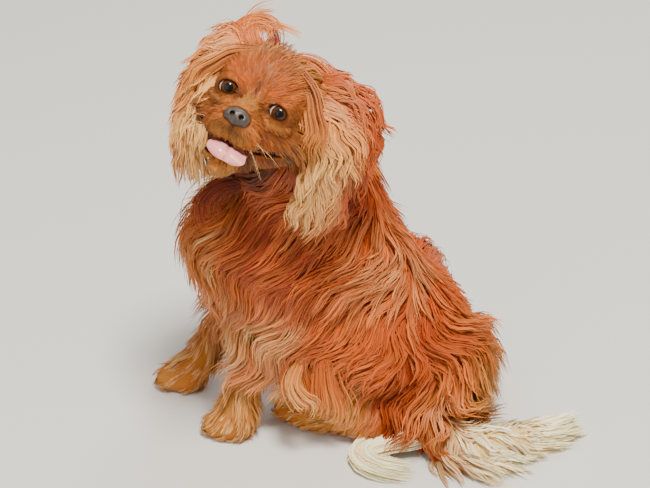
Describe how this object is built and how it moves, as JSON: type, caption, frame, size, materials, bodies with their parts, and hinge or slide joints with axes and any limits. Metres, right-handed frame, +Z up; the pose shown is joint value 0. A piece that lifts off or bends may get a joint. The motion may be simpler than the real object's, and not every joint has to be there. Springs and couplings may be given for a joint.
{
  "type": "cavalier king charles spaniel",
  "caption": "Life-size still spaniel, sitting, its head turned back over the left shoulder, with a long silky ruby coat, hanging feathered ears and a plumed tail.",
  "frame": {"origin": "on the floor under the middle of the box round the dog", "axes": "+Z is up; -Y is the way the chest faces; +X is the dog's left, which the face looks to"},
  "size_m": [0.3084, 0.439, 0.448],
  "materials": {
    "coat": "long silky chestnut-red hair",
    "coat_pale": "long wavy golden-red hair, paler at the ends",
    "coat_cream": "long cream-blonde hair",
    "eye": "wet dark brown",
    "nose": "moist dark leather",
    "tongue": "moist pink"
  },
  "bodies": {
    "root": {"head": "coat", "ear_left": "coat_pale", "ear_right": "coat_pale", "neck": "coat", "torso": "coat", "foreleg_left": "coat", "foreleg_right": "coat", "hindleg_left": "coat", "hindleg_right": "coat", "tail": "coat_cream", "eye_left": "eye", "eye_right": "eye", "nose": "nose", "tongue": "tongue"}
  },
  "joints": []
}
